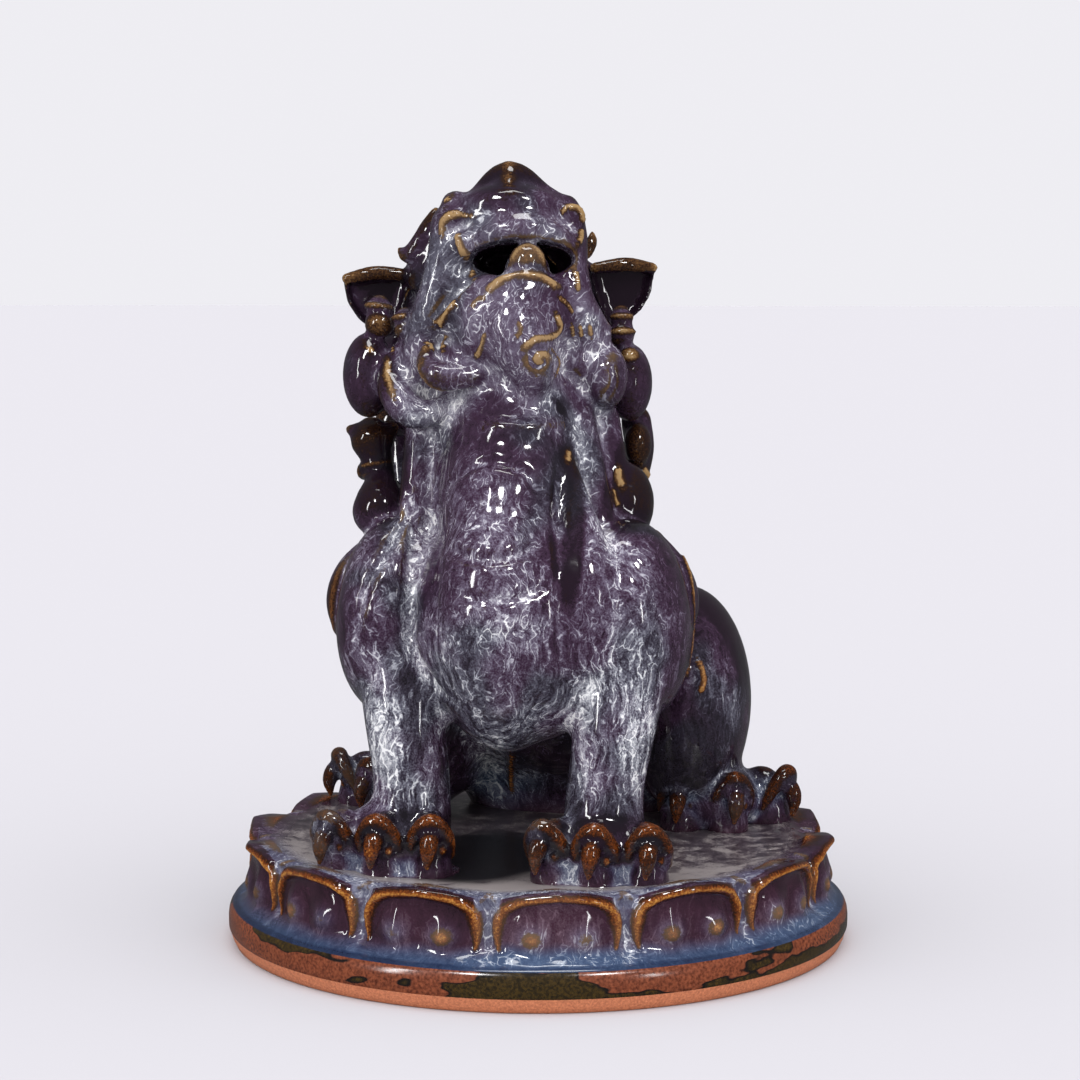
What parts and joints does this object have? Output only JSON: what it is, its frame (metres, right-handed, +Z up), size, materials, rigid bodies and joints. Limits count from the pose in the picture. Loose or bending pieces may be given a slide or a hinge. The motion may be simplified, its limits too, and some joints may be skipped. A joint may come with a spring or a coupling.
{
  "type": "glazed guardian lion statue",
  "caption": "Glazed stoneware figure of a seated mythical guardian lion, head turned and mouth open, on a round lotus-petal base with an unglazed foot ring.",
  "frame": {"origin": "middle of the foot ring's underside, on the surface the base stands on", "axes": "+Z up, -Y the way the lion's body and front paws face, +X to the lion's left"},
  "size_m": [0.1998, 0.2, 0.2463],
  "materials": {
    "flambe_glaze": "high gloss plum flambe glaze with grey-white streaks, amber where it thins on edges, bare orange clay at the foot ring"
  },
  "bodies": {
    "root": {"guardian_lion_on_lotus_base": "flambe_glaze"}
  },
  "joints": []
}
